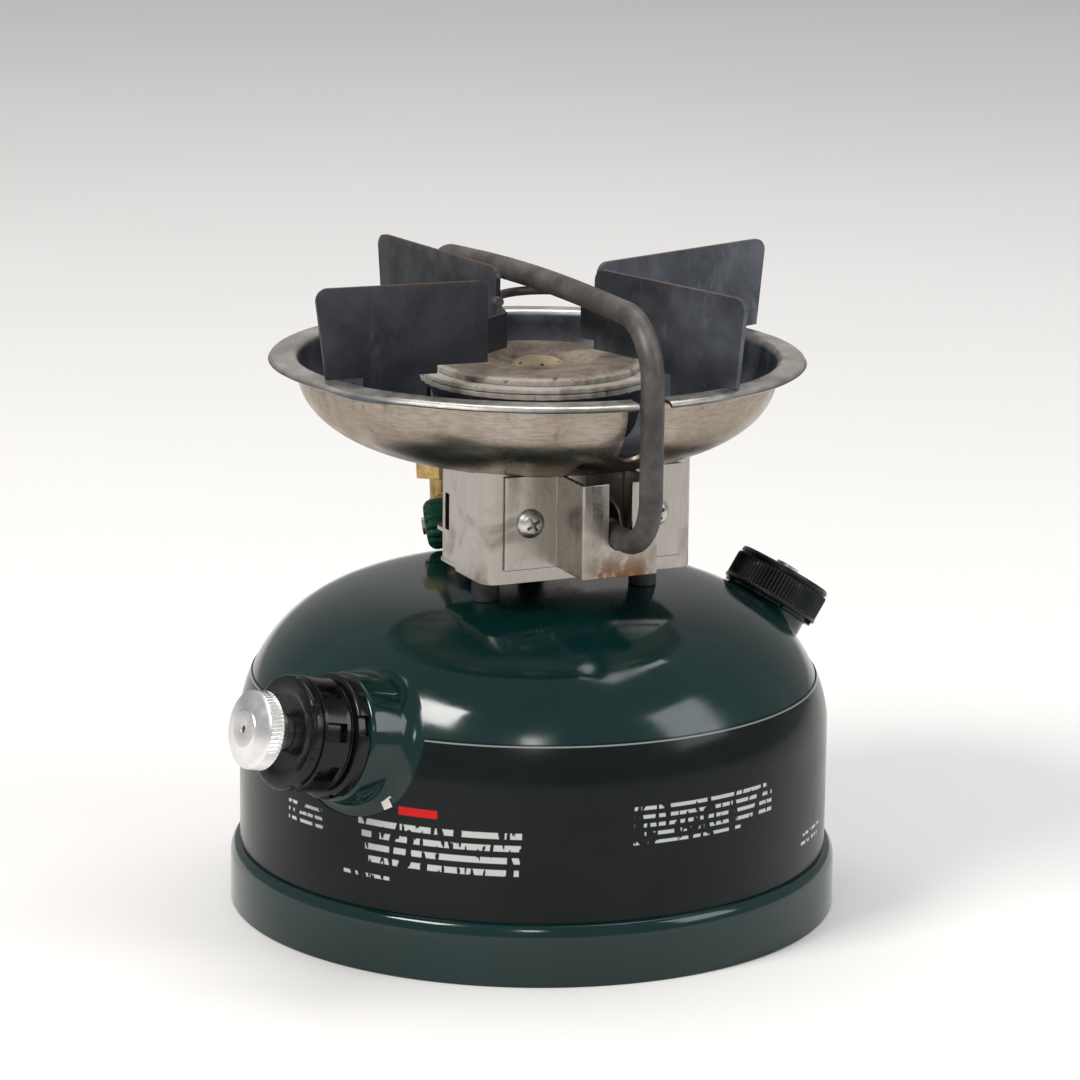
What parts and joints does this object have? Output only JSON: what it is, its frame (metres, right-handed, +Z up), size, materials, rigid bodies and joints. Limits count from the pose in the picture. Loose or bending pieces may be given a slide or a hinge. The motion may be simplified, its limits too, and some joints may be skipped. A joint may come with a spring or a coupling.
{
  "type": "camp stove",
  "caption": "Single-burner liquid fuel camp stove: domed tank with side pump and filler cap, boxed burner, drip pan, arched generator tube and two bent pot supports.",
  "frame": {"origin": "centre of the base ring on the ground", "axes": "+Z up; the generator tube lies in the plane x = 0 with its hook end at -Y; the filler cap is towards +X and the pump towards -X"},
  "size_m": [0.1724, 0.15, 0.1586],
  "materials": {
    "tank_paint": "glossy deep green enamel",
    "label_black": "semi-gloss black wrap",
    "bare_steel": "plain zinc-grey steel",
    "stainless": "worn stainless sheet",
    "dark_steel": "heat-darkened steel sheet",
    "tube_steel": "dark oxidised steel tube",
    "burner_steel": "tan oxidised steel",
    "brass": "dull yellow brass",
    "aluminium": "turned aluminium",
    "black_plastic": "glossy black plastic",
    "cap_plastic": "black-green knurled plastic",
    "green_plastic": "green moulded plastic",
    "rubber": "black seal rubber",
    "leather": "oiled brown leather"
  },
  "bodies": {
    "tank": {"fuel_tank": "tank_paint", "tank_bottom": "tank_paint", "base_ring": "tank_paint", "label_wrap": "label_black", "pump_collar": "tank_paint", "pump_barrel": "bare_steel", "pump_cap": "black_plastic", "check_valve": "brass", "check_ball": "bare_steel", "filler_neck": "tank_paint", "valve_body": "brass", "fuel_pickup_tube": "bare_steel", "packing_nut": "brass", "generator_nut": "brass", "generator_tube": "tube_steel", "generator_jet": "brass", "burner_box": "stainless", "rear_bracket": "stainless", "box_floor": "stainless", "box_standoffs": "dark_steel", "floor_screws": "bare_steel", "generator_bracket": "stainless", "bracket_screws": "bare_steel", "mixing_tube": "bare_steel", "drip_pan": "stainless", "burner_bowl": "dark_steel", "burner_rings": "burner_steel", "burner_cap": "burner_steel", "left_pot_support": "dark_steel", "right_pot_support": "dark_steel", "support_wire": "tube_steel"},
    "stem": {"air_stem": "bare_steel"},
    "plunger": {"pump_knob": "aluminium", "plunger_tube": "bare_steel", "pump_cup": "leather", "cup_retainer": "bare_steel"},
    "cap_lift": {"filler_gasket": "rubber"},
    "cap": {"filler_cap": "cap_plastic", "filler_insert": "aluminium", "filler_screw": "bare_steel"},
    "control": {"valve_stem": "bare_steel", "control_knob": "green_plastic", "knob_screw": "bare_steel"}
  },
  "joints": [
    {"name": "pump_knob_turn", "type": "hinge", "parent": "tank", "child": "stem", "pos_m": [-0.0637, -0.0325, 0.0552], "axis": [-0.962, -0.1662, 0.2164], "range_deg": [0, 360]},
    {"name": "pump_stroke", "type": "slide", "parent": "stem", "child": "plunger", "axis": [-0.962, -0.1662, 0.2164], "range_m": [0, 0.056]},
    {"name": "filler_lift", "type": "slide", "parent": "tank", "child": "cap_lift", "axis": [0.5388, 0, 0.8425], "range_m": [0, 0.00375]},
    {"name": "filler_turn", "type": "hinge", "parent": "cap_lift", "child": "cap", "pos_m": [0.064, 0, 0.067], "axis": [0.5388, 0, 0.8425], "range_deg": [0, 540]},
    {"name": "control_turn", "type": "hinge", "parent": "tank", "child": "control", "pos_m": [0, 0.038, 0.0874], "axis": [-0.8925, 0.4162, -0.1736], "range_deg": [0, 450]}
  ],
  "couplings": [
    {"joint": "filler_turn", "follows": "filler_lift", "rad_per_m": 2513.3}
  ]
}
